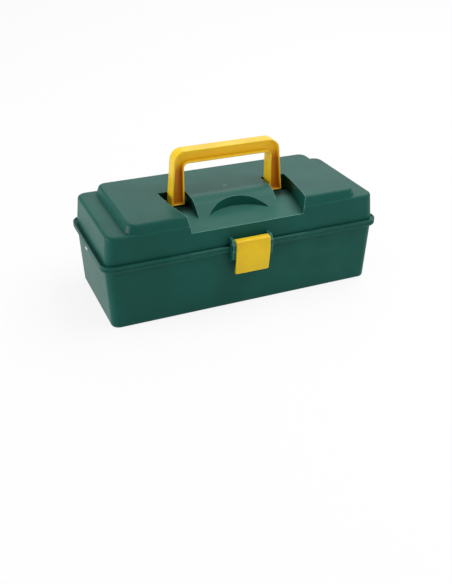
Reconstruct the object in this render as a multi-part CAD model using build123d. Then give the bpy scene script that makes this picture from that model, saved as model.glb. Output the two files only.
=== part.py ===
from build123d import *
from math import atan2, cos, degrees, hypot, radians, sin, tan
import os

os.makedirs("parts", exist_ok=True)

# A small plastic tool case with a hinged lid, a folding carry handle, a front
# latch and one tray that lifts out on four arms as the lid opens.
# X runs along the case, the front faces -Y, Z is up, and the origin is the
# middle of the base's underside. All lengths are in millimetres.

# Case outside
rim_length = 312.0
rim_depth = 134.0
rim_corner = 13.5
parting_height = 69.0
parting_gap = 0.3
flange_height = 3.4
flange_overhang = 4.0
flange_round = 2.0
parting_round = 0.5
lip_groove_width = 2.2
lip_groove_depth = 0.8
lip_round = 0.7
wall = 2.2

# Base tub
foot_draw_length = 16.4
foot_draw_depth = 12.4
foot_corner = 8.5
foot_round = 2.8
head_corner = 10.0

# Lid
shelf_rise = 33.0
shelf_draw_length = 13.6
shelf_draw_depth = 9.6
shelf_corner = 10.5
shelf_round = 3.2
pad_rise = 9.0
pad_foot_sink = 4.6
pad_setback = 18.7
pad_foot_inset = 0.15
pad_foot_corner = 11.0
pad_draw_length = 9.0
pad_draw_depth = 6.4
pad_top_corner = 9.5
pad_round = 3.0

# Handle recess in the lid, open to the front
recess_side_room = 10.4
recess_waist_draw = 2.8
recess_mouth_draw = 9.2
recess_waist_y = -25.0
recess_rear_room = 0.6
recess_draft_angle = 10.0
recess_depth = 12.6
recess_floor_fall = 5.1

# Hump between the handle legs, with a finger scallop in its front
hump_half_length = 45.4
hump_crest_y = -13.0
hump_radius = 22.0
hump_slope_angle = 42.0
scallop_radius = 48.0
scallop_apex_y = -23.2

# Wells that the handle legs stand in
well_depth = 4.6
well_front_setback = 0.5
well_margin = 2.6

# Carry handle
handle_depth = 15.0
handle_rise = 48.5
handle_leg_gap = 1.6
handle_leg_width_foot = 15.0
handle_leg_width_top = 10.0
handle_hump_gap = 4.0
handle_grip_height = 14.0
handle_outer_round = 12.5
handle_inner_round = 5.0
handle_flange = 1.7
handle_web = 3.0
handle_edge_round = 0.7
handle_pivot_forward = 3.5
handle_pivot_rise = 4.6
trunnion_radius = 3.0
trunnion_boss_radius = 4.4
trunnion_side_gap = 0.4
trunnion_reach = 1.2

# Front latch, its ears and the bar that it hooks under
latch_width = 37.8
latch_standoff = 3.0
latch_pivot_rise = 7.5
latch_crown_inset = 1.7
latch_brow_offset = 5.4
latch_brow_round = 2.2
latch_belly_offset = 5.9
latch_belly_drop = 8.0
latch_top_rise = 4.6
latch_thickness = 2.6
latch_hang = 26.3
latch_foot_offset = 3.0
latch_edge_round = 0.6
latch_barrel_radius = 4.2
latch_side_gap = 0.45
latch_lip_thickness = 2.8
latch_lip_inset = 3.0
latch_lip_gap = 0.6
latch_corner = 1.6
ear_thickness = 2.8
ear_radius = 4.6
lid_ear_rise = 0.4
base_ear_hang = 15.0
catch_bar_radius = 2.0
catch_bar_drop = 5.0
catch_bar_inset = 0.2
catch_ear_margin = 1.3

# Hinge at the back
hinge_standoff = 4.3
knuckle_radius = 3.8
knuckle_outer_width = 10.0
knuckle_inner_width = 20.0
knuckle_gap = 0.3
hinge_setback = 61.0

# Pins
pin_radius = 1.5
running_gap = 0.05

# Lift tray
tray_end_room = 14.5
tray_side_room = 12.0
tray_height = 26.0
tray_rise = 14.0
tray_set_forward = 2.0
tray_corner = 8.0
tray_draft = 2.5
tray_wall = 1.8
tray_lip = 1.6
tray_lip_height = 2.2
divider_thickness = 1.5
divider_drop = 1.5
tray_front_row_share = 0.34
tray_cross_shares = (0.155, 0.31, 0.47, 0.62)

# Arms that carry the tray, and their rivets
arm_length = 52.0
arm_rise_angle = 18.0
arm_width = 7.2
arm_thickness = 3.0
arm_tray_gap = 1.5
arm_side_gap = 0.3
rear_pivot_setback = 11.0
rear_pivot_drop = 8.0
pivot_spacing = 36.0
front_pivot_drop = 11.0
crank_reach = 9.7
crank_drop = 11.5
loop_gap = 0.25
boss_radius = 4.0
rivet_radius = 2.0
rivet_head_radius = 2.7
rivet_head_height = 1.6
rivet_collar_radius = 3.1
rivet_collar_height = 0.9
rivet_seat_gap = 0.1
tray_rivet_bite = 4.0
pivot_slot_length = 13.0
pivot_slot_height = 4.6
pivot_slot_depth = 1.3

# Ribs inside the base's front wall that the closed tray rests on
rest_setback = 52.0
rest_thickness = 3.0
rest_reach = 13.0
rest_drop = 16.0
rest_gap = 0.3

# How far cutting shapes run past what they cut
overrun = 5.0

# Heights and places that follow from the sizes above
lid_foot = parting_height + parting_gap
head_length = rim_length - 2 * flange_overhang
head_depth = rim_depth - 2 * flange_overhang
foot_length = rim_length - foot_draw_length
foot_depth = rim_depth - foot_draw_depth
shelf_height = parting_height + shelf_rise
shelf_length = rim_length - shelf_draw_length
shelf_depth = rim_depth - shelf_draw_depth
pad_height = shelf_height + pad_rise
pad_foot_height = shelf_height - pad_foot_sink
pad_foot_length = shelf_length - 2 * pad_setback
pad_top_length = pad_foot_length - pad_draw_length
pad_top_depth = shelf_depth - pad_draw_depth
handle_inner_half = hump_half_length + handle_hump_gap
handle_half_foot = handle_inner_half + handle_leg_width_foot
handle_half_top = handle_inner_half + handle_leg_width_top
handle_top = pad_height + handle_rise
recess_half_rear = handle_half_foot + recess_side_room
recess_half_waist = recess_half_rear - recess_waist_draw
recess_half_mouth = recess_half_rear - recess_mouth_draw
recess_rear_y = handle_depth / 2 + recess_rear_room
recess_floor_rear = pad_height - recess_depth
recess_floor_mouth = recess_floor_rear - recess_floor_fall
well_front_y = well_front_setback - handle_depth / 2
handle_leg_foot = recess_floor_rear + handle_leg_gap
handle_pivot_height = recess_floor_rear + handle_pivot_rise
hinge_place_x = rim_length / 2 - hinge_setback
hinge_y = rim_depth / 2 + hinge_standoff
hinge_z = parting_height + parting_gap / 2
handle_pivot_y = -handle_pivot_forward
latch_pivot_y = -rim_depth / 2 - latch_standoff
latch_pivot_z = parting_height + latch_pivot_rise
latch_face_y = latch_pivot_y - latch_belly_offset
latch_foot_y = latch_pivot_y - latch_foot_offset
latch_foot_height = parting_height - latch_hang
base_ear_low = parting_height - base_ear_hang
ear_inner_x = latch_width / 2 + latch_side_gap
ear_outer_x = ear_inner_x + ear_thickness
catch_bar_y = latch_pivot_y + catch_bar_inset
catch_bar_z = parting_height - catch_bar_drop
tray_length = rim_length - 2 * tray_end_room
tray_depth = rim_depth - 2 * tray_side_room
tray_top = parting_height + tray_rise
tray_bottom = tray_top - tray_height
tray_y = -tray_set_forward
arm_inner_x = tray_length / 2 + arm_tray_gap
arm_outer_x = arm_inner_x + arm_thickness
rear_pivot_y = head_depth / 2 - rear_pivot_setback
front_pivot_y = rear_pivot_y - pivot_spacing
front_pivot_z = parting_height - front_pivot_drop
rear_pivot_z = parting_height - rear_pivot_drop
rest_place_x = head_length / 2 - rest_setback


def between(low, high, share):
    return low + (high - low) * share


def base_size(height):
    """Length, depth and corner of the tub's outside at a height."""
    share = height / parting_height
    return (
        between(foot_length, head_length, share),
        between(foot_depth, head_depth, share),
        between(foot_corner, head_corner, share),
    )


def skirt_size(height):
    """Length, depth and corner of the lid skirt's outside at a height."""
    share = (height - lid_foot) / (shelf_height - lid_foot)
    return (
        between(head_length, shelf_length, share),
        between(head_depth, shelf_depth, share),
        between(head_corner, shelf_corner, share),
    )


def section(size, height, inset=0):
    """A rounded rectangle at a height, drawn in from a size by an inset."""
    length, depth, corner = size
    plan = RectangleRounded(length - 2 * inset, depth - 2 * inset, corner - inset)
    return Pos(0, 0, height) * plan


def rod(radius, x_low, x_high, y, z):
    """A round bar along X."""
    bar = Cylinder(radius, x_high - x_low, align=(Align.CENTER, Align.CENTER, Align.MIN))
    return Pos(x_low, y, z) * Rot(0, 90, 0) * bar


def side_block(edges, x_low, x_high):
    """A flat plate across X whose outline is drawn in Y and Z by edges."""
    return extrude(Plane.YZ.offset(x_low) * make_face(edges), amount=x_high - x_low)


def side_plate(points, x_low, x_high):
    """A flat plate across X whose outline is drawn in Y and Z by corners."""
    return side_block(Polyline(*points, close=True).edges(), x_low, x_high)


def both_ends(piece):
    return piece + mirror(piece, about=Plane.YZ)


def flange(low):
    """The rim's out-turned flange as a full plate."""
    return extrude(section((rim_length, rim_depth, rim_corner), low), amount=flange_height)


def knuckles(places, low, high):
    """Hinge barrels at spans along X, each with a web into the flange."""
    root_y = rim_depth / 2 - flange_overhang
    built = Part()
    for x_low, x_high in places:
        web = side_plate([(root_y, low), (hinge_y, low), (hinge_y, high), (root_y, high)], x_low, x_high)
        built += web + rod(knuckle_radius, x_low, x_high, hinge_y, hinge_z)
    return built


# Spans of the hinge barrels at one end: the lid's in the middle, the base's either side
lid_knuckle_spans = [(hinge_place_x - knuckle_inner_width / 2, hinge_place_x + knuckle_inner_width / 2)]
knuckle_low_x = lid_knuckle_spans[0][0] - knuckle_gap
knuckle_high_x = lid_knuckle_spans[0][1] + knuckle_gap
base_knuckle_spans = [
    (knuckle_low_x - knuckle_outer_width, knuckle_low_x),
    (knuckle_high_x, knuckle_high_x + knuckle_outer_width),
]
hinge_pin_span = (base_knuckle_spans[0][0], base_knuckle_spans[1][1])


def tray_pivot(y, z):
    """The upper end of an arm whose lower pivot is given, with the tray closed."""
    angle = radians(arm_rise_angle)
    return (y - arm_length * cos(angle), z + arm_length * sin(angle))


front_base_pivot = (front_pivot_y, front_pivot_z)
rear_base_pivot = (rear_pivot_y, rear_pivot_z)
front_tray_pivot = tray_pivot(*front_base_pivot)
rear_tray_pivot = tray_pivot(*rear_base_pivot)


# Base tub: drafted walls, rim flange, pivot bosses, tray rests, catch and hinge barrels
def base_tub():
    outer = loft([section(base_size(0), 0), section(base_size(parting_height), parting_height)], ruled=True)
    outer = fillet(outer.faces().sort_by(Axis.Z)[0].edges(), foot_round)
    rim = flange(parting_height - flange_height)
    rim = fillet(rim.faces().sort_by(Axis.Z)[0].edges(), flange_round)
    rim = fillet(rim.faces().sort_by(Axis.Z)[-1].edges(), parting_round)
    well_top = parting_height + overrun
    well = loft(
        [section(base_size(wall), wall, wall), section(base_size(well_top), well_top, wall)],
        ruled=True,
    )
    well = fillet(well.faces().sort_by(Axis.Z)[0].edges(), foot_round)
    tub = outer + rim - well
    tub += both_ends(base_fittings())
    tub += base_catch()
    tub += both_ends(knuckles(base_knuckle_spans, parting_height - flange_height, parting_height))
    for y, z in (front_base_pivot, rear_base_pivot):
        tub -= both_ends(rod(rivet_radius + running_gap, arm_outer_x, rim_length, y, z) + pivot_slot(y, z))
    tub -= both_ends(rod(pin_radius, *hinge_pin_span, hinge_y, hinge_z))
    return tub


def base_fittings():
    """Right-hand pivot bosses on the end wall and the rest rib on the front wall."""
    fittings = Part()
    for y, z in (front_base_pivot, rear_base_pivot):
        wall_middle = base_size(z)[0] / 2 - wall / 2
        fittings += rod(boss_radius, arm_outer_x + arm_side_gap, wall_middle, y, z)
    rest_top = tray_bottom - rest_gap
    wall_y = -base_size(rest_top)[1] / 2 + wall / 2
    foot_z = rest_top - rest_drop
    foot_y = -base_size(foot_z)[1] / 2 + wall / 2
    rib = [(wall_y, rest_top), (wall_y + rest_reach, rest_top), (foot_y, foot_z)]
    fittings += side_plate(rib, rest_place_x - rest_thickness / 2, rest_place_x + rest_thickness / 2)
    return fittings


def pivot_slot(y, z):
    """The shallow slot in the right-hand end wall that a rivet head sits over."""
    slot = Plane.YZ.offset(base_size(z)[0] / 2 - pivot_slot_depth) * Pos(y, z)
    return extrude(slot * SlotOverall(pivot_slot_length, pivot_slot_height), amount=overrun)


def base_catch():
    """Two ears below the rim with the bar that the latch hooks under."""
    top = parting_height - parting_gap
    front = catch_bar_y - catch_bar_radius - catch_ear_margin
    chin = catch_bar_z - catch_bar_radius - catch_ear_margin
    root_top = -base_size(top)[1] / 2 + wall / 2
    root_low = -base_size(base_ear_low)[1] / 2 + wall / 2
    outline = [(root_top, top), (front, top), (front, chin), (root_low, base_ear_low)]
    ears = both_ends(side_plate(outline, ear_inner_x, ear_outer_x))
    middle_x = ear_inner_x + ear_thickness / 2
    return ears + rod(catch_bar_radius, -middle_x, middle_x, catch_bar_y, catch_bar_z)


# Lid: skirt, shelves, raised pad and flange, hollow inside, with the handle recess
def recess_outline(height, grow):
    """Plan of the recess: it narrows towards the front and towards its floor."""
    drawn_in = (pad_height - height) * tan(radians(recess_draft_angle)) - grow
    mouth_y = -shelf_depth / 2
    front_y = -rim_depth
    rear_y = recess_rear_y + grow
    rear = recess_half_rear - drawn_in
    waist = recess_half_waist - drawn_in
    mouth = recess_half_mouth - drawn_in
    edges = [
        Line((-rear, rear_y), (rear, rear_y)),
        ThreePointArc((rear, rear_y), (waist, recess_waist_y), (mouth, mouth_y)),
        Line((mouth, mouth_y), (mouth, front_y)),
        Line((mouth, front_y), (-mouth, front_y)),
        Line((-mouth, front_y), (-mouth, mouth_y)),
        ThreePointArc((-mouth, mouth_y), (-waist, recess_waist_y), (-rear, rear_y)),
    ]
    return Pos(0, 0, height) * make_face(edges)


def recess_hollow(grow):
    """The space of the recess, or that space and the wall round it."""
    top = pad_height + overrun
    low = recess_floor_mouth - well_depth - overrun
    plan = loft([recess_outline(low, grow), recess_outline(top, grow)], ruled=True)
    rear_y = recess_rear_y + overrun
    floor_rear = recess_floor_rear - grow
    floor_mouth = recess_floor_mouth - grow
    mouth_y = -shelf_depth / 2
    front_y = -rim_depth - overrun
    edges = [
        TangentArc((rear_y, floor_rear), (mouth_y, floor_mouth), tangent=(-1, 0)),
        Line((mouth_y, floor_mouth), (front_y, floor_mouth)),
        Line((front_y, floor_mouth), (front_y, top)),
        Line((front_y, top), (rear_y, top)),
        Line((rear_y, top), (rear_y, floor_rear)),
    ]
    above_floor = extrude(Plane.YZ * make_face(edges), amount=rim_length / 2, both=True)
    hollow = plan & above_floor
    return hollow + both_ends(leg_well(grow)) - hump(grow)


def leg_well(grow):
    """The deeper well round the foot of the right-hand handle leg."""
    inner_x = hump_half_length - grow
    outer_x = recess_half_rear - well_margin + grow
    front_y = well_front_y - grow
    rear_y = recess_rear_y + grow
    low = recess_floor_rear - well_depth - grow
    outline = [(front_y, low), (rear_y, low), (rear_y, recess_floor_rear), (front_y, recess_floor_rear)]
    return side_plate(outline, inner_x, outer_x)


def hump(grow):
    """The hump between the legs: flat at pad level, then rolling down to the floor."""
    top = pad_height - grow
    low = recess_floor_mouth - well_depth - overrun - wall
    rear_y = recess_rear_y + overrun + wall
    slope = radians(hump_slope_angle)
    radius = hump_radius - grow
    roll_y = hump_crest_y - radius * sin(slope)
    roll_z = top - radius * (1 - cos(slope))
    foot_y = roll_y - (roll_z - low) / tan(slope)
    edges = [
        Line((rear_y, low), (rear_y, top)),
        Line((rear_y, top), (hump_crest_y, top)),
        TangentArc((hump_crest_y, top), (roll_y, roll_z), tangent=(-1, 0)),
        Line((roll_y, roll_z), (foot_y, low)),
        Line((foot_y, low), (rear_y, low)),
    ]
    block = extrude(Plane.YZ * make_face(edges), amount=hump_half_length - grow, both=True)
    scallop_y = scallop_apex_y - scallop_radius
    scallop = Pos(0, scallop_y, low) * Cylinder(
        scallop_radius + grow, top - low, align=(Align.CENTER, Align.CENTER, Align.MIN)
    )
    return block - scallop


def lid_rim():
    """The lid's flange as a full plate, with a groove that leaves a lip at its edge."""
    rim = flange(lid_foot)
    rim = fillet(rim.faces().sort_by(Axis.Z)[-1].edges(), lip_round)
    rim = fillet(rim.faces().sort_by(Axis.Z)[0].edges(), parting_round)
    groove_low = lid_foot + flange_height - lip_groove_depth
    groove = section(skirt_size(lid_foot), groove_low, -lip_groove_width)
    return rim - extrude(groove, amount=overrun)


def lid_shell():
    skirt_foot = section(skirt_size(lid_foot), lid_foot)
    skirt_head = section(skirt_size(shelf_height), shelf_height)
    skirt = loft([skirt_foot, skirt_head], ruled=True)
    skirt = fillet(skirt.faces().sort_by(Axis.Z)[-1].edges(), shelf_round)
    pad_foot = (pad_foot_length, skirt_size(pad_foot_height)[1] - 2 * pad_foot_inset, pad_foot_corner)
    pad_top = (pad_top_length, pad_top_depth, pad_top_corner)
    pad = loft([section(pad_foot, pad_foot_height), section(pad_top, pad_height)], ruled=True)
    pad = fillet(pad.faces().sort_by(Axis.Z)[-1].edges(), pad_round)
    outside = skirt + pad + lid_rim()

    ceiling = shelf_height - wall
    below = lid_foot - overrun
    inside = loft(
        [section(skirt_size(below), below, wall), section(skirt_size(ceiling), ceiling, wall)],
        ruled=True,
    )
    inside += loft(
        [section(pad_foot, pad_foot_height, wall), section(pad_top, pad_height - wall, wall)],
        ruled=True,
    )
    shell = outside - (inside - recess_hollow(wall)) - recess_hollow(0)

    shell += both_ends(lid_ear())
    shell += both_ends(knuckles(lid_knuckle_spans, lid_foot, lid_foot + flange_height))
    latch_hole_x = ear_outer_x + overrun
    shell -= rod(pin_radius, -latch_hole_x, latch_hole_x, latch_pivot_y, latch_pivot_z)
    shell -= both_ends(rod(pin_radius + running_gap, *hinge_pin_span, hinge_y, hinge_z))
    trunnion_axis = (handle_pivot_y, handle_pivot_height)
    boss_low_x = hump_half_length - wall
    boss_high_x = handle_inner_half - trunnion_side_gap
    shell += both_ends(rod(trunnion_boss_radius, boss_low_x, boss_high_x, *trunnion_axis))
    bearing = rod(trunnion_radius + running_gap, boss_low_x - overrun, boss_high_x, *trunnion_axis)
    return shell - both_ends(bearing)


def lid_ear():
    """The right-hand ear that holds the latch pin."""
    front = latch_pivot_y - ear_radius
    crown = latch_pivot_z + ear_radius
    root_top_z = crown + lid_ear_rise
    root_low = -skirt_size(lid_foot)[1] / 2 + wall / 2
    root_top = -skirt_size(root_top_z)[1] / 2 + wall / 2
    outline = [
        (root_low, lid_foot),
        (front, lid_foot),
        (front, latch_pivot_z),
        (latch_pivot_y, crown),
        (root_top, root_top_z),
    ]
    return side_plate(outline, ear_inner_x, ear_outer_x)


# Carry handle: a U with flanges round a recessed web, on two stub trunnions
def handle_outline():
    grip_low = handle_top - handle_grip_height
    outer = make_face(
        Polyline(
            (-handle_half_foot, handle_leg_foot),
            (-handle_half_top, handle_top),
            (handle_half_top, handle_top),
            (handle_half_foot, handle_leg_foot),
            close=True,
        )
    )
    outer = fillet(outer.vertices().group_by(Axis.Y)[-1], handle_outer_round)
    gap = make_face(
        Polyline(
            (-handle_inner_half, handle_leg_foot - overrun),
            (-handle_inner_half, grip_low),
            (handle_inner_half, grip_low),
            (handle_inner_half, handle_leg_foot - overrun),
            close=True,
        )
    )
    gap = fillet(gap.vertices().group_by(Axis.Y)[-1], handle_inner_round)
    return outer - gap


def carry_handle():
    outline = handle_outline()
    upright = Plane.XZ
    body = extrude(upright * outline, amount=handle_depth / 2, both=True)
    faces = body.faces().filter_by(Axis.Y).edges()
    body = fillet(faces, handle_edge_round)
    pocket = extrude(upright * offset(outline, amount=-handle_flange), amount=handle_depth, both=True)
    web = Box(2 * rim_length, handle_web, 2 * rim_length)
    body -= pocket - web
    pin_low_x = hump_half_length - wall - trunnion_reach
    pin_high_x = handle_inner_half + handle_flange / 2
    stub = rod(trunnion_radius, pin_low_x, pin_high_x, handle_pivot_y, handle_pivot_height)
    below = Pos(0, 0, handle_leg_foot) * Box(
        2 * rim_length, rim_depth, pad_height, align=(Align.CENTER, Align.CENTER, Align.MAX)
    )
    return body + both_ends(stub) - below


# Front latch: a curved plate on a barrel, with a lip that hooks under the bar
def front_latch():
    half = latch_width / 2
    top_z = latch_pivot_z + latch_top_rise
    brow_y = latch_pivot_y - latch_brow_offset
    crown = (latch_pivot_y + latch_crown_inset, top_z)
    brow_back = (brow_y + latch_brow_round, top_z)
    brow = (brow_y, top_z - latch_brow_round)
    belly = (latch_face_y, latch_pivot_z - latch_belly_drop)
    foot = (latch_foot_y, latch_foot_height)
    inner_foot, inner_belly, inner_brow = [(y + latch_thickness, z) for y, z in (foot, belly, brow)]
    edges = [
        Line(crown, brow_back),
        TangentArc(brow_back, brow, tangent=(-1, 0)),
        Spline(brow, belly, foot, tangents=[(0, -1), (foot[0] - belly[0], foot[1] - belly[1])]),
        Line(foot, inner_foot),
        Spline(inner_foot, inner_belly, inner_brow),
        Line(inner_brow, (latch_pivot_y, latch_pivot_z)),
        Line((latch_pivot_y, latch_pivot_z), crown),
    ]
    plate = side_block(edges, -half, half)
    low_edges = plate.edges().filter_by(Axis.Y).group_by(Axis.Z)[0]
    plate = fillet(low_edges, latch_corner)
    front = plate.faces().sort_by(Axis.Y)[0]
    plate = fillet(front.edges().sort_by(Axis.Z)[:-1], latch_edge_round)
    plate += rod(latch_barrel_radius, -half, half, latch_pivot_y, latch_pivot_z)
    lip_top = catch_bar_z - catch_bar_radius - latch_lip_gap
    lip_low = lip_top - latch_lip_thickness
    lip_tip = catch_bar_y + catch_bar_radius / 2
    root_y = latch_face_y + latch_thickness / 2
    tip_low = lip_top - latch_lip_thickness / 2
    lip = [(root_y, lip_low), (lip_tip, tip_low), (lip_tip, lip_top), (root_y, lip_top)]
    plate += side_plate(lip, latch_lip_inset - half, half - latch_lip_inset)
    return plate - rod(pin_radius + running_gap, -latch_width, latch_width, latch_pivot_y, latch_pivot_z)


# Lift tray: one long row in front, a row of pockets behind, and pivot bosses on its ends
def tray_size(height):
    share = (height - tray_bottom) / tray_height
    drawn_in = tray_lip + tray_draft * (1 - share)
    return (tray_length - 2 * drawn_in, tray_depth - 2 * drawn_in, tray_corner)


def lift_tray():
    lip_low = tray_top - tray_lip_height
    floor = tray_bottom + tray_wall
    mouth = tray_top + overrun
    shell = loft(
        [section(tray_size(tray_bottom), tray_bottom), section(tray_size(tray_top), tray_top)],
        ruled=True,
    )
    hollow = loft(
        [section(tray_size(floor), floor, tray_wall), section(tray_size(mouth), mouth, tray_wall)],
        ruled=True,
    )
    lip = extrude(section((tray_length, tray_depth, tray_corner + tray_lip), lip_low), amount=tray_lip_height)
    tray = shell + lip - hollow + (tray_dividers() & shell)
    tray = Pos(0, tray_y, 0) * tray
    for y, z in (front_tray_pivot, rear_tray_pivot):
        wall_middle = tray_size(z)[0] / 2 - tray_wall / 2
        tray += both_ends(rod(boss_radius, wall_middle, arm_inner_x - arm_side_gap, y, z))
        tray -= both_ends(rod(rivet_radius, arm_inner_x - tray_rivet_bite, arm_inner_x, y, z))
    return tray


def tray_dividers():
    """The long divider and the cross dividers of the rear row, before they are trimmed."""
    length, depth, _ = tray_size(tray_top)
    height = tray_height - divider_drop
    standing = (Align.CENTER, Align.CENTER, Align.MIN)
    row_y = between(-depth / 2, depth / 2, tray_front_row_share)
    dividers = Pos(0, row_y, tray_bottom) * Box(length, divider_thickness, height, align=standing)
    rear_depth = depth / 2 - row_y
    for share in tray_cross_shares:
        x = between(-length / 2, length / 2, share)
        cross = Box(divider_thickness, rear_depth, height, align=standing)
        dividers += Pos(x, row_y + rear_depth / 2, tray_bottom) * cross
    return dividers


# Arms: flat bars, straight in front and cranked behind to pass over the rear rim
def strut(start, end):
    """A round-ended bar between two points of Y and Z."""
    (start_y, start_z), (end_y, end_z) = start, end
    middle = ((start_y + end_y) / 2, (start_z + end_z) / 2)
    slope = degrees(atan2(end_z - start_z, end_y - start_y))
    bar = SlotCenterToCenter(hypot(end_y - start_y, end_z - start_z), arm_width)
    return Pos(*middle) * Rot(0, 0, slope) * bar


def arm(points):
    """A bar through the given points, pressed on its lower rivet and free on its upper one."""
    outline = Sketch()
    for start, end in zip(points, points[1:]):
        outline += strut(start, end)
    bar = extrude(Plane.YZ.offset(arm_inner_x) * outline, amount=arm_thickness)
    return bar - rod(rivet_radius, arm_inner_x - overrun, arm_outer_x + overrun, *points[0])


def front_arm():
    bar = arm([front_base_pivot, front_tray_pivot])
    hole_radius = rivet_radius + loop_gap
    return bar - rod(hole_radius, arm_inner_x - overrun, arm_outer_x + overrun, *front_tray_pivot)


def rear_arm():
    angle = radians(arm_rise_angle)
    y, z = rear_base_pivot
    elbow = (
        y - crank_reach * cos(angle) - crank_drop * sin(angle),
        z + crank_reach * sin(angle) - crank_drop * cos(angle),
    )
    bar = arm([rear_base_pivot, elbow, rear_tray_pivot])
    hole_radius = rivet_radius + running_gap
    return bar - rod(hole_radius, arm_inner_x - overrun, arm_outer_x + overrun, *rear_tray_pivot)


# Rivets: a domed head outside, a shank and, on the base rivets, a collar inside
def dome(radius, height, x, y, z):
    """A shallow domed head along +X."""
    profile = make_face(
        [
            Line((0, 0), (radius, 0)),
            TangentArc((0, height), (radius, 0), tangent=(1, 0)),
            Line((0, height), (0, 0)),
        ]
    )
    return Pos(x, y, z) * Rot(0, 90, 0) * revolve(Plane.XZ * profile, axis=Axis.Z)


def base_rivet(y, z):
    seat_x = base_size(z + rivet_head_radius)[0] / 2 + rivet_seat_gap
    collar_x = arm_inner_x - rivet_collar_height
    shank = rod(rivet_radius, collar_x, seat_x, y, z)
    collar = rod(rivet_collar_radius, collar_x, arm_inner_x, y, z)
    return shank + collar + dome(rivet_head_radius, rivet_head_height, seat_x, y, z)


def tray_rivet(y, z):
    seat_x = arm_outer_x + rivet_seat_gap
    shank = rod(rivet_radius, arm_inner_x - tray_rivet_bite, seat_x, y, z)
    return shank + dome(rivet_collar_radius, rivet_collar_height, seat_x, y, z)


# Pins
def hinge_pin():
    return rod(pin_radius, *hinge_pin_span, hinge_y, hinge_z)


def latch_pin():
    return rod(pin_radius, -ear_outer_x, ear_outer_x, latch_pivot_y, latch_pivot_z)


pieces = {
    "base_tub": base_tub(),
    "lid_shell": lid_shell(),
    "carry_handle": carry_handle(),
    "front_latch": front_latch(),
    "lift_tray": lift_tray(),
    "latch_pin": latch_pin(),
}
paired_pieces = {
    "front_arm": front_arm(),
    "rear_arm": rear_arm(),
    "base_rivet_front": base_rivet(*front_base_pivot),
    "base_rivet_rear": base_rivet(*rear_base_pivot),
    "tray_rivet_front": tray_rivet(*front_tray_pivot),
    "tray_rivet_rear": tray_rivet(*rear_tray_pivot),
    "hinge_pin": hinge_pin(),
}
for name, piece in paired_pieces.items():
    pieces[name + "_right"] = piece
    pieces[name + "_left"] = mirror(piece, about=Plane.YZ)

for name, piece in pieces.items():
    export_step(piece, f"parts/{name}.step")
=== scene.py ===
import math

import bmesh
import bpy
from mathutils import Matrix, Vector


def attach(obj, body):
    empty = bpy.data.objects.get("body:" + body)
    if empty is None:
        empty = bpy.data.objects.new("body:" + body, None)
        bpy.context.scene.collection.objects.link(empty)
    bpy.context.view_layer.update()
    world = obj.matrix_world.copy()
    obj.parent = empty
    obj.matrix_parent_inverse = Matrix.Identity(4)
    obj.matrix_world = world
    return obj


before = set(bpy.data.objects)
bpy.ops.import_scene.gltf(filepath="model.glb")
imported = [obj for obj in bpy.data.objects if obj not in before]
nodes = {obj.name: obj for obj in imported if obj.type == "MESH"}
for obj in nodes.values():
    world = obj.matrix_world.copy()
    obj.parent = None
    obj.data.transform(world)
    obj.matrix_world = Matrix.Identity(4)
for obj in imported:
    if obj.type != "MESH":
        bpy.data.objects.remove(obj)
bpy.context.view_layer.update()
scene = bpy.context.scene
scene.view_settings.view_transform = "Standard"
MM = 0.001
WHITE = (1.0, 1.0, 1.0, 1.0)


# Node trees: short ways to place nodes and join them
def feed(tree, socket, value):
    if isinstance(value, bpy.types.NodeSocket):
        tree.links.new(value, socket)
    else:
        socket.default_value = value


def place_node(tree, kind, inputs=None, **settings):
    node = tree.nodes.new(kind)
    for key, value in settings.items():
        setattr(node, key, value)
    for key, value in (inputs or {}).items():
        feed(tree, node.inputs[key], value)
    return node


def calc(tree, operation, first, second=0.0):
    node = place_node(tree, "ShaderNodeMath", {0: first, 1: second}, operation=operation)
    return node.outputs[0]


def product(tree, first, *others):
    for other in others:
        first = calc(tree, "MULTIPLY", first, other)
    return first


def ramp(tree, value, low, high, out_low=0.0, out_high=1.0):
    """A smooth step of a value from one range to another."""
    inputs = {"Value": value, "From Min": low, "From Max": high, "To Min": out_low, "To Max": out_high}
    node = place_node(tree, "ShaderNodeMapRange", inputs, interpolation_type="SMOOTHSTEP")
    return node.outputs["Result"]


def tint(tree, share, first, second):
    node = place_node(tree, "ShaderNodeMix", {0: share, 6: first, 7: second}, data_type="RGBA")
    return node.outputs[2]


def axes_of(tree, vector):
    return place_node(tree, "ShaderNodeSeparateXYZ", {0: vector}).outputs


def noise(tree, scale, detail, stretch=None):
    """Noise on the piece's own coordinates, drawn out along axes where asked."""
    where = place_node(tree, "ShaderNodeTexCoord").outputs["Object"]
    if stretch:
        mapping = place_node(tree, "ShaderNodeMapping", {"Vector": where, "Scale": stretch})
        where = mapping.outputs["Vector"]
    node = place_node(tree, "ShaderNodeTexNoise", {"Vector": where, "Scale": scale, "Detail": detail})
    return node.outputs["Fac"]


def add_inputs(tree, kind, values):
    for label, value in values.items():
        socket = tree.interface.new_socket(label, in_out="INPUT", socket_type=kind)
        socket.default_value = value


def start_group(name, inputs, outputs):
    """A shader group with float inputs, and outputs given with their socket types."""
    group = bpy.data.node_groups.new(name, "ShaderNodeTree")
    add_inputs(group, "NodeSocketFloat", inputs)
    for label, kind in outputs.items():
        group.interface.new_socket(label, in_out="OUTPUT", socket_type=kind)
    source = group.nodes.new("NodeGroupInput")
    sink = group.nodes.new("NodeGroupOutput")
    return group, source.outputs, sink.inputs


def use_group(tree, group, inputs=None):
    return place_node(tree, "ShaderNodeGroup", inputs, node_tree=group).outputs


def start_material(name):
    material = bpy.data.materials.new(name)
    material.use_nodes = True
    return material, material.node_tree, material.node_tree.nodes["Principled BSDF"]


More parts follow.
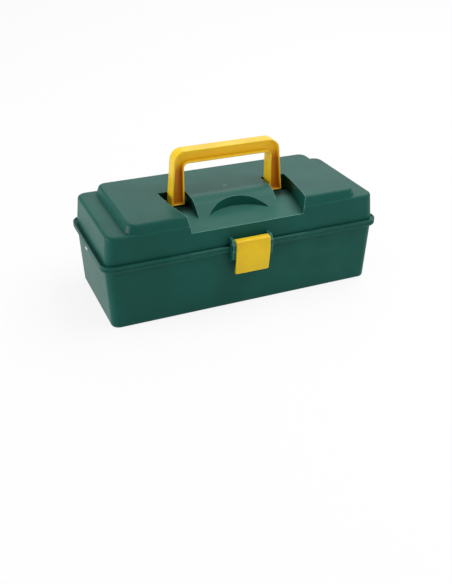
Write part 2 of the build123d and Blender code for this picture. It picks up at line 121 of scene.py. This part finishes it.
# Camera: where it stands, and where the case sits in the picture
VIEW_AZIMUTH = math.radians(-23.398)
VIEW_ELEVATION = math.radians(25.497)
VIEW_ROLL = math.radians(0.42)
VIEW_DISTANCE = 0.8830
VIEW_NEAR = 0.01
VIEW_FAR = 50.0
CASE_MIDDLE = (0.0, 0.0, 0.06)
CASE_LOWER = (0.0, 0.0, 0.05)
PICTURE_LONG_SIDE = 584
LENS_PIXELS = 798.05
SENSOR = 36.0
CASE_RIGHT_PIXELS = -1.17
CASE_UP_PIXELS = 63.6


def make_camera():
    data = bpy.data.cameras.new("camera")
    data.sensor_width = SENSOR
    data.lens = LENS_PIXELS / PICTURE_LONG_SIDE * SENSOR
    data.shift_x = -CASE_RIGHT_PIXELS / PICTURE_LONG_SIDE
    data.shift_y = -CASE_UP_PIXELS / PICTURE_LONG_SIDE
    data.clip_start = VIEW_NEAR
    data.clip_end = VIEW_FAR
    camera = bpy.data.objects.new("camera", data)
    scene.collection.objects.link(camera)
    flat = math.cos(VIEW_ELEVATION)
    back = Vector((
        math.sin(VIEW_AZIMUTH) * flat,
        -math.cos(VIEW_AZIMUTH) * flat,
        math.sin(VIEW_ELEVATION),
    ))
    look = (-back).to_track_quat("-Z", "Y").to_matrix().to_4x4()
    place = Matrix.Translation(Vector(CASE_MIDDLE) + back * VIEW_DISTANCE)
    camera.matrix_world = place @ look @ Matrix.Rotation(VIEW_ROLL, 4, "Z")
    scene.camera = camera


# Floor and light
FLOOR_HALF = 6.0
FLOOR_CORNERS = [(-1, -1), (1, -1), (1, 1), (-1, 1)]
FLOOR_COLOR = (0.8, 0.8, 0.8, 1.0)
FLOOR_ROUGHNESS = 0.9
FLOOR_SPECULAR = 0.1
FLOOR_WHITE_SHARE = 0.86
SKY_LOW = 0.1
SKY_HIGH = 0.7
SKY_RISE = (0.3, 0.7)
SKY_SHOWN = 0.6
SOFTBOXES = {
    "top_softbox": {"place": (0.9, -0.1, 1.55), "target": CASE_LOWER, "size": (1.6, 1.2), "watts": 22.8},
    "front_softbox": {"place": (1.1, -2.2, 0.8), "target": CASE_MIDDLE, "size": (1.8, 1.0), "watts": 8.6},
    "back_softbox": {"place": (1.2, 1.8, 1.25), "target": CASE_MIDDLE, "size": (2.2, 1.4), "watts": 11.2},
    "left_softbox": {"place": (-1.5, 0.2, 0.22), "target": CASE_MIDDLE, "size": (1.2, 0.42), "watts": 14.5},
}


def seen_directly(tree):
    """One where the camera looks, also by way of gloss or glass, and zero where light only spreads."""
    rays = place_node(tree, "ShaderNodeLightPath").outputs
    seen = calc(tree, "ADD", rays["Is Camera Ray"], rays["Is Glossy Ray"])
    return calc(tree, "MINIMUM", calc(tree, "ADD", seen, rays["Is Transmission Ray"]), 1.0)


def make_floor():
    """A pale floor that shows nearly white and keeps the case's shadow."""
    mesh = bpy.data.meshes.new("floor")
    corners = [(x * FLOOR_HALF, y * FLOOR_HALF, 0) for x, y in FLOOR_CORNERS]
    mesh.from_pydata(corners, [], [tuple(range(len(corners)))])
    floor = bpy.data.objects.new("floor", mesh)
    scene.collection.objects.link(floor)
    material, tree, shader = start_material("pale_floor")
    shader.inputs["Base Color"].default_value = FLOOR_COLOR
    shader.inputs["Roughness"].default_value = FLOOR_ROUGHNESS
    shader.inputs["Specular IOR Level"].default_value = FLOOR_SPECULAR
    paper = place_node(tree, "ShaderNodeEmission", {"Color": WHITE, "Strength": 1.0})
    mixed = place_node(tree, "ShaderNodeMixShader", {
        0: calc(tree, "MULTIPLY", seen_directly(tree), FLOOR_WHITE_SHARE),
        1: shader.outputs["BSDF"],
        2: paper.outputs["Emission"],
    })
    feed(tree, tree.nodes["Material Output"].inputs["Surface"], mixed.outputs["Shader"])
    mesh.materials.append(material)


def make_sky():
    """A studio that is brighter overhead than at the sides, with a pale backdrop where it is seen."""
    world = bpy.data.worlds.new("studio")
    world.use_nodes = True
    tree = world.node_tree
    toward = place_node(tree, "ShaderNodeTexCoord").outputs["Generated"]
    glow = ramp(tree, axes_of(tree, toward)["Z"], *SKY_RISE, SKY_LOW, SKY_HIGH)
    shown = calc(tree, "MULTIPLY", seen_directly(tree), SKY_SHOWN)
    sky = tree.nodes["Background"].inputs
    feed(tree, sky["Color"], WHITE)
    feed(tree, sky["Strength"], calc(tree, "MAXIMUM", glow, shown))
    scene.world = world


def make_softbox(name, place, target, size, watts):
    data = bpy.data.lights.new(name, "AREA")
    data.shape = "RECTANGLE"
    data.size, data.size_y = size
    data.energy = watts
    lamp = bpy.data.objects.new(name, data)
    scene.collection.objects.link(lamp)
    aim = Vector(target) - Vector(place)
    turn = aim.to_track_quat("-Z", "Y").to_matrix().to_4x4()
    lamp.matrix_world = Matrix.Translation(place) @ turn


# Rounded edges, and the places that lie open or shut in
EDGE_SAMPLES = 16
SHADE_SAMPLES = 16
SHADE_REACH = 0.006
EDGE_TURN = (0.004, 0.12)
EDGE_OPENNESS = (0.80, 0.97)


def make_soft_edges():
    """Normals rounded at the edges, a mask of the edges that stand out and one of the shut-in places."""
    group, source, sink = start_group(
        "soft_edges",
        {"Radius": 0.0008, "Reach": SHADE_REACH},
        {"Normal": "NodeSocketVector", "Edge": "NodeSocketFloat", "Shut In": "NodeSocketFloat"},
    )
    bevel = place_node(group, "ShaderNodeBevel", {"Radius": source["Radius"]}, samples=EDGE_SAMPLES)
    rounded = bevel.outputs["Normal"]
    straight = place_node(group, "ShaderNodeNewGeometry").outputs["Normal"]
    dot = place_node(group, "ShaderNodeVectorMath", {0: rounded, 1: straight}, operation="DOT_PRODUCT")
    turned = calc(group, "SUBTRACT", 1.0, dot.outputs["Value"])
    shade = place_node(
        group, "ShaderNodeAmbientOcclusion", {"Distance": source["Reach"]},
        samples=SHADE_SAMPLES, only_local=True,
    )
    openness = shade.outputs["AO"]
    edge_highlight_and_wear = product(group, ramp(group, turned, *EDGE_TURN), ramp(group, openness, *EDGE_OPENNESS))
    feed(group, sink["Normal"], rounded)
    feed(group, sink["Edge"], edge_highlight_and_wear)
    feed(group, sink["Shut In"], calc(group, "SUBTRACT", 1.0, openness))
    return group


# Grain of the moulded faces
FINE_DETAIL = 3.0
CLOUD_DETAIL = 4.0
CLOUD_SPREAD = (0.3, 0.7)
SPECKLE_SCALE_SHARE = 0.45
SPECKLE_DETAIL = 1.0
SPECKLE_SPREAD = (0.35, 0.65)


def make_moulded_grain():
    """The fine texture of a moulded face and the slow cloudiness of its colour."""
    group, source, sink = start_group(
        "moulded_grain",
        {"Grain Scale": 1500.0, "Cloud Scale": 26.0},
        {"Height": "NodeSocketFloat", "Cloud": "NodeSocketFloat", "Speckle": "NodeSocketFloat"},
    )
    cloud = noise(group, source["Cloud Scale"], CLOUD_DETAIL)
    speckle_scale = calc(group, "MULTIPLY", source["Grain Scale"], SPECKLE_SCALE_SHARE)
    speckle = noise(group, speckle_scale, SPECKLE_DETAIL)
    feed(group, sink["Height"], noise(group, source["Grain Scale"], FINE_DETAIL))
    feed(group, sink["Cloud"], ramp(group, cloud, *CLOUD_SPREAD))
    feed(group, sink["Speckle"], ramp(group, speckle, *SPECKLE_SPREAD))
    return group


# Wear: rubbed edges, and two sets of scratches, each with its turn and its stretch
PATCH_DETAIL = 3.0
PATCH_SPREAD = (0.5, 0.68)
SCRATCH_WAYS = ((0.35, (1.0, 0.08, 1.0)), (-0.6, (0.07, 1.0, 1.0)))
SCRATCH_WIDTH_SHARE = 0.012
RUB_SCALE = 320.0
RUB_DETAIL = 4.0
RUB_SPREAD = (0.3, 0.62)


def make_handling_wear():
    """Rubbed edges, and thin scratches in patches where hands and tools pass."""
    group, source, sink = start_group(
        "handling_wear",
        {"Edge": 0.0, "Scratch Scale": 60.0, "Patch Scale": 14.0},
        {"Rub": "NodeSocketFloat", "Scratch": "NodeSocketFloat"},
    )
    where = place_node(group, "ShaderNodeTexCoord").outputs["Object"]
    scratches = 0.0
    for turn, stretch in SCRATCH_WAYS:
        mapping = place_node(group, "ShaderNodeMapping", {
            "Vector": where, "Rotation": (turn, -turn, turn), "Scale": stretch,
        })
        cells = place_node(
            group, "ShaderNodeTexVoronoi",
            {"Vector": mapping.outputs["Vector"], "Scale": source["Scratch Scale"]},
            feature="DISTANCE_TO_EDGE",
        )
        lines = ramp(group, cells.outputs["Distance"], 0.0, SCRATCH_WIDTH_SHARE, 1.0, 0.0)
        scratches = calc(group, "MAXIMUM", scratches, lines)
    patch = ramp(group, noise(group, source["Patch Scale"], PATCH_DETAIL), *PATCH_SPREAD)
    uneven = ramp(group, noise(group, RUB_SCALE, RUB_DETAIL), *RUB_SPREAD)
    feed(group, sink["Rub"], product(group, source["Edge"], uneven))
    feed(group, sink["Scratch"], product(group, scratches, patch))
    return group


# Dust
DUST_FACING = (0.35, 0.95)
DUST_DETAIL = 5.0
DUST_SPREAD = (0.35, 0.75)
DUST_IN_THE_OPEN = 0.35


def make_settled_dust():
    """Thin dust on faces that look up, thicker in shut-in corners."""
    group, source, sink = start_group(
        "settled_dust", {"Shut In": 0.0, "Patch Scale": 40.0}, {"Dust": "NodeSocketFloat"},
    )
    facing = place_node(group, "ShaderNodeTexCoord").outputs["Normal"]
    lies = ramp(group, axes_of(group, facing)["Z"], *DUST_FACING)
    patch = ramp(group, noise(group, source["Patch Scale"], DUST_DETAIL), *DUST_SPREAD)
    corner = calc(group, "ADD", DUST_IN_THE_OPEN, source["Shut In"])
    feed(group, sink["Dust"], product(group, lies, patch, corner))
    return group


# The lid's handle recess, as places on the lid in metres
WELL_FACING = (0.25, 0.5)
WELL_PLACES = {
    "Half Length": 0.064, "Length Fade": 0.004, "Rear": -0.006, "Rear Fade": 0.008,
}
PIT_PLACES = {
    "Pit Inner": 0.045, "Pit Outer": 0.0765,
    "Pit Front": -0.026, "Pit Full": -0.012, "Pit Rear": 0.0095,
    "Pit Bottom": 0.088, "Pit Deep": 0.1085, "Pit Rim": 0.1106,
}


def make_handle_well():
    """Masks of the up-facing faces that the handle folds over, where light is painted, and of the pits
    round the handle's legs, where shade is painted.
    """
    group, source, sink = start_group(
        "handle_well", {**WELL_PLACES, **PIT_PLACES}, {"Well": "NodeSocketFloat", "Pit": "NodeSocketFloat"},
    )
    where = place_node(group, "ShaderNodeTexCoord").outputs
    spot = axes_of(group, where["Object"])
    aside = calc(group, "ABSOLUTE", spot["X"])
    end = calc(group, "ADD", source["Half Length"], source["Length Fade"])
    front = calc(group, "SUBTRACT", source["Rear"], source["Rear Fade"])
    feed(group, sink["Well"], product(
        group,
        ramp(group, aside, source["Half Length"], end, 1.0, 0.0),
        ramp(group, spot["Y"], front, source["Rear"], 1.0, 0.0),
        ramp(group, axes_of(group, where["Normal"])["Z"], *WELL_FACING),
    ))
    feed(group, sink["Pit"], product(
        group,
        calc(group, "GREATER_THAN", aside, source["Pit Inner"]),
        calc(group, "LESS_THAN", aside, source["Pit Outer"]),
        ramp(group, spot["Y"], source["Pit Front"], source["Pit Full"]),
        calc(group, "LESS_THAN", spot["Y"], source["Pit Rear"]),
        calc(group, "GREATER_THAN", spot["Z"], source["Pit Bottom"]),
        ramp(group, spot["Z"], source["Pit Deep"], source["Pit Rim"], 1.0, 0.0),
    ))
    return group


soft_edges = make_soft_edges()
handle_well = make_handle_well()
moulded_grain = make_moulded_grain()
handling_wear = make_handling_wear()
settled_dust = make_settled_dust()

# Plastics
CLOUDY_SHARE = 0.9
LIVELY_SHARE = 1.07
# Share of painted shade in the pits round the handle's legs.
PIT_SHADE_SHARE = 0.9
LEG_FOOT_TO_GRIP = (0.134, 0.149)
GLOW_RADIUS = (1.0, 0.6, 0.08)
GLOW_SCALE = 0.006
DUST_COLOR = (0.30, 0.30, 0.27, 1.0)
SPECKLE_ROUGHNESS = 0.03
RUBBED_ROUGHNESS = 0.12
DUSTY_ROUGHNESS = 0.2
GRAIN_HEIGHT = 0.00006
SCRATCH_DEPTH_SHARE = 0.3


def make_plastic(
    name, color, painted_cavity_tone, edge_highlight_and_wear, roughness, specular, grain, cavity_paint_range, edge_highlight_share, wear_share, dust_share,
    reach=SHADE_REACH, leg_foot_shade=None, well_light=None, glow=0.0,
):
    """A moulded plastic: its colour, a painted tone in shut-in places and a painted highlight on edges.

    In shut-in places the tone is painted shade on every plastic but the yellow, where it is painted bounce
    light, a lighter orange; toward the foot of the handle's legs a darker orange takes its place as painted
    shade. The edge tone is a painted highlight on convex edges and also the colour of rubs and scratches. A
    tone for the lid's handle recess is painted light on the up-facing faces there.
    """
    material, tree, shader = start_material(name)
    shader.inputs["Specular IOR Level"].default_value = specular
    shader.inputs["Subsurface Weight"].default_value = glow
    shader.inputs["Subsurface Radius"].default_value = GLOW_RADIUS
    shader.inputs["Subsurface Scale"].default_value = GLOW_SCALE
    edges = use_group(tree, soft_edges, {"Reach": reach})
    skin = use_group(tree, moulded_grain)
    wear = use_group(tree, handling_wear, {"Edge": edges["Edge"]})
    dust = use_group(tree, settled_dust, {"Shut In": edges["Shut In"]})["Dust"]
    rubbed = calc(tree, "MAXIMUM", wear["Rub"], wear["Scratch"])

    cloudy = [value * CLOUDY_SHARE for value in color] + [1.0]
    lively = [min(1.0, value * LIVELY_SHARE) for value in color] + [1.0]
    tone = tint(tree, skin["Cloud"], cloudy, lively)
    # How much painted shade (painted bounce light on the yellow) each spot gets, from how shut in it is.
    cavity_paint_share = ramp(tree, edges["Shut In"], *cavity_paint_range)
    # Painted light on the up-facing faces of the handle recess, and painted shade in the pits round the
    # handle's legs.
    if well_light:
        well = use_group(tree, handle_well)
        tone = tint(tree, well["Well"], tone, (*well_light, 1.0))
        # Painted shade in the pits beside the handle's legs.
        cavity_paint_share = calc(tree, "MAXIMUM", cavity_paint_share, calc(tree, "MULTIPLY", well["Pit"], PIT_SHADE_SHARE))
    cavity_paint_color = (*painted_cavity_tone, 1.0)
    # Painted shade: a darker orange toward the foot of the handle's legs.
    if leg_foot_shade:
        where = place_node(tree, "ShaderNodeTexCoord").outputs["Object"]
        rise = ramp(tree, axes_of(tree, where)["Z"], *LEG_FOOT_TO_GRIP)
        cavity_paint_color = tint(tree, rise, (*leg_foot_shade, 1.0), cavity_paint_color)
    # Painted shade in shut-in places; on the yellow, painted bounce light in its channels.
    tone = tint(tree, cavity_paint_share, tone, cavity_paint_color)
    # Painted highlight: convex edges tinted toward the lighter edge colour, which rubs and scratches also
    # use.
    tone = tint(tree, calc(tree, "MULTIPLY", edges["Edge"], edge_highlight_share), tone, (*edge_highlight_and_wear, 1.0))
    tone = tint(tree, calc(tree, "MULTIPLY", rubbed, wear_share), tone, (*edge_highlight_and_wear, 1.0))
    tone = tint(tree, calc(tree, "MULTIPLY", dust, dust_share), tone, DUST_COLOR)
    feed(tree, shader.inputs["Base Color"], tone)

    smoothest = roughness - SPECKLE_ROUGHNESS
    roughest = roughness + SPECKLE_ROUGHNESS
    rough = ramp(tree, skin["Speckle"], 0.0, 1.0, smoothest, roughest)
    rough = calc(tree, "ADD", rough, calc(tree, "MULTIPLY", rubbed, RUBBED_ROUGHNESS))
    rough = calc(tree, "ADD", rough, calc(tree, "MULTIPLY", dust, DUSTY_ROUGHNESS))
    feed(tree, shader.inputs["Roughness"], rough)

    scratch_depth = calc(tree, "MULTIPLY", wear["Scratch"], SCRATCH_DEPTH_SHARE)
    bump = place_node(tree, "ShaderNodeBump", {
        "Strength": grain, "Distance": GRAIN_HEIGHT, "Normal": edges["Normal"],
        "Height": calc(tree, "SUBTRACT", skin["Height"], scratch_depth),
    })
    feed(tree, shader.inputs["Normal"], bump.outputs["Normal"])
    return material


# Steel wire
WIRE_EDGE_RADIUS = 0.0003
WIRE_CLOUD_SCALE = 180.0
WIRE_LINES_SCALE = 1800.0
WIRE_LINES_DETAIL = 3.0
WIRE_LINES_STRETCH = (0.05, 1.0, 1.0)
WIRE_LINES_SPREAD = (0.3, 0.7)
WIRE_ROUGHNESS = (0.28, 0.5)
WIRE_DULL_SHARE = 0.6
WIRE_BUMP = 0.3
WIRE_LINES_HEIGHT = 0.00003


def make_steel(name, color):
    """Drawn wire: brushed along its length, with dull spots."""
    material, tree, shader = start_material(name)
    shader.inputs["Metallic"].default_value = 1.0
    edges = use_group(tree, soft_edges, {"Radius": WIRE_EDGE_RADIUS})
    skin = use_group(tree, moulded_grain, {"Cloud Scale": WIRE_CLOUD_SCALE})
    lines = noise(tree, WIRE_LINES_SCALE, WIRE_LINES_DETAIL, WIRE_LINES_STRETCH)
    dull = [value * WIRE_DULL_SHARE for value in color] + [1.0]
    feed(tree, shader.inputs["Base Color"], tint(tree, skin["Cloud"], dull, (*color, 1.0)))
    feed(tree, shader.inputs["Roughness"], ramp(tree, lines, *WIRE_LINES_SPREAD, *WIRE_ROUGHNESS))
    bump = place_node(tree, "ShaderNodeBump", {
        "Strength": WIRE_BUMP, "Distance": WIRE_LINES_HEIGHT, "Height": lines, "Normal": edges["Normal"],
    })
    feed(tree, shader.inputs["Normal"], bump.outputs["Normal"])
    return material


# The shell's recess tone is painted light; its shut-in tone is painted shade and its edge tone a painted
# highlight.
green = make_plastic(
    "green_shell", color=(0.006, 0.083, 0.064), painted_cavity_tone=(0.001, 0.014, 0.011), edge_highlight_and_wear=(0.27, 0.52, 0.46),
    roughness=0.38, specular=0.115, grain=0.25, cavity_paint_range=(0.46, 0.78),
    edge_highlight_share=0.9, wear_share=0.03, dust_share=0.10,
    reach=0.010, well_light=(0.027, 0.124, 0.100),
)
# The gate mark's pale tone is a painted highlight on the nub.
gate_highlight_green = make_plastic(
    "gate_highlight_green", color=(0.055, 0.185, 0.155), painted_cavity_tone=(0.03, 0.14, 0.11), edge_highlight_and_wear=(0.32, 0.52, 0.47),
    roughness=0.4, specular=0.2, grain=0.2, cavity_paint_range=(0.3, 0.8),
    edge_highlight_share=0.6, wear_share=0.05, dust_share=0.10,
)
# The yellow's shut-in tone is a lighter orange, painted bounce light; lower on the legs it is painted
# shade.
yellow = make_plastic(
    "yellow_fittings", color=(0.82, 0.535, 0.010), painted_cavity_tone=(1.0, 0.65, 0.018), edge_highlight_and_wear=(0.95, 0.76, 0.14),
    roughness=0.34, specular=0.22, grain=0.18, cavity_paint_range=(0.07, 0.34),
    edge_highlight_share=0.8, wear_share=0.10, dust_share=0.05,
    reach=0.012, leg_foot_shade=(0.66, 0.25, 0.010), glow=0.25,
)
grey = make_plastic(
    "grey_tray", color=(0.46, 0.46, 0.49), painted_cavity_tone=(0.26, 0.26, 0.29), edge_highlight_and_wear=(0.62, 0.62, 0.64),
    roughness=0.42, specular=0.35, grain=0.22, cavity_paint_range=(0.3, 0.9),
    edge_highlight_share=0.5, wear_share=0.25, dust_share=0.25,
)
white_arms = make_plastic(
    "white_arms", color=(0.75, 0.78, 0.80), painted_cavity_tone=(0.5, 0.52, 0.54), edge_highlight_and_wear=(0.86, 0.87, 0.88),
    roughness=0.36, specular=0.4, grain=0.15, cavity_paint_range=(0.3, 0.9),
    edge_highlight_share=0.5, wear_share=0.25, dust_share=0.15,
)
white_rivets = make_plastic(
    "white_rivets", color=(0.80, 0.82, 0.82), painted_cavity_tone=(0.5, 0.52, 0.52), edge_highlight_and_wear=(0.9, 0.9, 0.9),
    roughness=0.3, specular=0.45, grain=0.1, cavity_paint_range=(0.4, 0.9),
    edge_highlight_share=0.5, wear_share=0.25, dust_share=0.1,
)
steel = make_steel("steel_pins", color=(0.62, 0.62, 0.60))


def dress(material, *names):
    for name in names:
        piece = nodes[name]
        piece.data.materials.clear()
        piece.data.materials.append(material)


dress(green, "base_tub", "lid_shell")
dress(yellow, "carry_handle", "front_latch")
dress(grey, "lift_tray")
dress(white_arms, *[name for name in nodes if "arm_" in name])
dress(white_rivets, *[name for name in nodes if "rivet" in name])
dress(steel, *[name for name in nodes if "_pin" in name])


# Ejector rings that the mould leaves on hidden faces
RING_CORNERS = 28
BEAD_CORNERS = 6
RING_SIZES = {"Length": 0.2, "Depth": 0.08, "Ring Radius": 0.0035, "Bead Radius": 0.00018}
RING_COUNTS = {"Rings Along": 4, "Rings Across": 2}
BASE_FLOOR = (0.0, 0.0, 2.2 * MM)
TRAY_ROW_FLOOR = (0.0, -38.0 * MM, 58.8 * MM)
LID_CEILING = (0.0, 33.0 * MM, 108.8 * MM)


def make_ring_tree():
    """A grid of low round beads, with its sizes as inputs."""
    tree = bpy.data.node_groups.new("ejector_rings", "GeometryNodeTree")
    add_inputs(tree, "NodeSocketFloat", RING_SIZES)
    add_inputs(tree, "NodeSocketInt", RING_COUNTS)
    tree.interface.new_socket("Finish", in_out="INPUT", socket_type="NodeSocketMaterial")
    tree.interface.new_socket("Geometry", in_out="OUTPUT", socket_type="NodeSocketGeometry")
    source = tree.nodes.new("NodeGroupInput").outputs
    sink = tree.nodes.new("NodeGroupOutput").inputs
    grid = place_node(tree, "GeometryNodeMeshGrid", {
        "Size X": source["Length"], "Size Y": source["Depth"],
        "Vertices X": source["Rings Along"], "Vertices Y": source["Rings Across"],
    })
    ring = place_node(tree, "GeometryNodeCurvePrimitiveCircle", {
        "Resolution": RING_CORNERS, "Radius": source["Ring Radius"],
    })
    bead = place_node(tree, "GeometryNodeCurvePrimitiveCircle", {
        "Resolution": BEAD_CORNERS, "Radius": source["Bead Radius"],
    })
    tube = place_node(tree, "GeometryNodeCurveToMesh", {
        "Curve": ring.outputs["Curve"], "Profile Curve": bead.outputs["Curve"],
    })
    spread = place_node(tree, "GeometryNodeInstanceOnPoints", {
        "Points": grid.outputs["Mesh"], "Instance": tube.outputs["Mesh"],
    })
    whole = place_node(tree, "GeometryNodeRealizeInstances", {"Geometry": spread.outputs["Instances"]})
    finished = place_node(tree, "GeometryNodeSetMaterial", {
        "Geometry": whole.outputs["Geometry"], "Material": source["Finish"],
    })
    feed(tree, sink["Geometry"], finished.outputs["Geometry"])
    return tree


ring_tree = make_ring_tree()


def make_rings(name, body, finish, middle, sizes):
    """One grid of rings as a plain mesh that rides on a body."""
    carrier = bpy.data.objects.new(name + "_carrier", bpy.data.meshes.new(name + "_carrier"))
    scene.collection.objects.link(carrier)
    modifier = carrier.modifiers.new("rings", "NODES")
    modifier.node_group = ring_tree
    sockets = [item for item in ring_tree.interface.items_tree if item.in_out == "INPUT"]
    identifiers = {socket.name: socket.identifier for socket in sockets}
    for label, value in {"Finish": finish, **sizes}.items():
        modifier[identifiers[label]] = value
    depsgraph = bpy.context.evaluated_depsgraph_get()
    mesh = bpy.data.meshes.new_from_object(carrier.evaluated_get(depsgraph), depsgraph=depsgraph)
    carrier.modifiers.remove(modifier)
    bpy.data.objects.remove(carrier)
    mesh.name = name
    mesh.transform(Matrix.Translation(middle))
    piece = bpy.data.objects.new(name, mesh)
    scene.collection.objects.link(piece)
    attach(piece, body)


make_rings(
    "base_floor_rings", "base", green, BASE_FLOOR,
    {"Length": 0.21, "Depth": 0.07, "Rings Along": 4, "Rings Across": 2},
)
make_rings(
    "tray_row_rings", "tray", grey, TRAY_ROW_FLOOR,
    {"Length": 0.23, "Depth": 0.0005, "Rings Along": 6, "Rings Across": 1, "Ring Radius": 0.0026},
)
make_rings(
    "lid_ceiling_rings", "lid", green, LID_CEILING,
    {"Length": 0.2, "Depth": 0.028, "Rings Along": 4, "Rings Across": 2},
)


# The mark where the plastic was fed in, on the hump: a nub in a shallow ring, as radius and height
GATE_PROFILE = [
    (0.0, 0.42), (0.45, 0.40), (0.75, 0.2), (0.85, 0.03), (1.7, 0.03), (1.95, 0.14), (2.2, -0.1),
]
GATE_PLACE = (0.4 * MM, 1.8 * MM, 111.0 * MM)
GATE_STEPS = 24
GATE_MERGE = 1e-6


def make_gate_mark():
    mesh = bpy.data.meshes.new("gate_mark")
    build = bmesh.new()
    corners = [build.verts.new((radius * MM, 0, height * MM)) for radius, height in GATE_PROFILE]
    rims = [build.edges.new(pair) for pair in zip(corners, corners[1:])]
    bmesh.ops.spin(
        build, geom=corners + rims, cent=(0, 0, 0), axis=(0, 0, 1), angle=math.tau,
        steps=GATE_STEPS, use_merge=True,
    )
    bmesh.ops.remove_doubles(build, verts=build.verts, dist=GATE_MERGE)
    bmesh.ops.recalc_face_normals(build, faces=build.faces)
    if sum(face.normal.z for face in build.faces) < 0:
        bmesh.ops.reverse_faces(build, faces=build.faces)
    build.to_mesh(mesh)
    build.free()
    mesh.transform(Matrix.Translation(GATE_PLACE))
    mesh.materials.append(gate_highlight_green)
    piece = bpy.data.objects.new("gate_mark", mesh)
    scene.collection.objects.link(piece)
    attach(piece, "lid")


make_gate_mark()
make_camera()
make_floor()
make_sky()
for label, box in SOFTBOXES.items():
    make_softbox(label, **box)
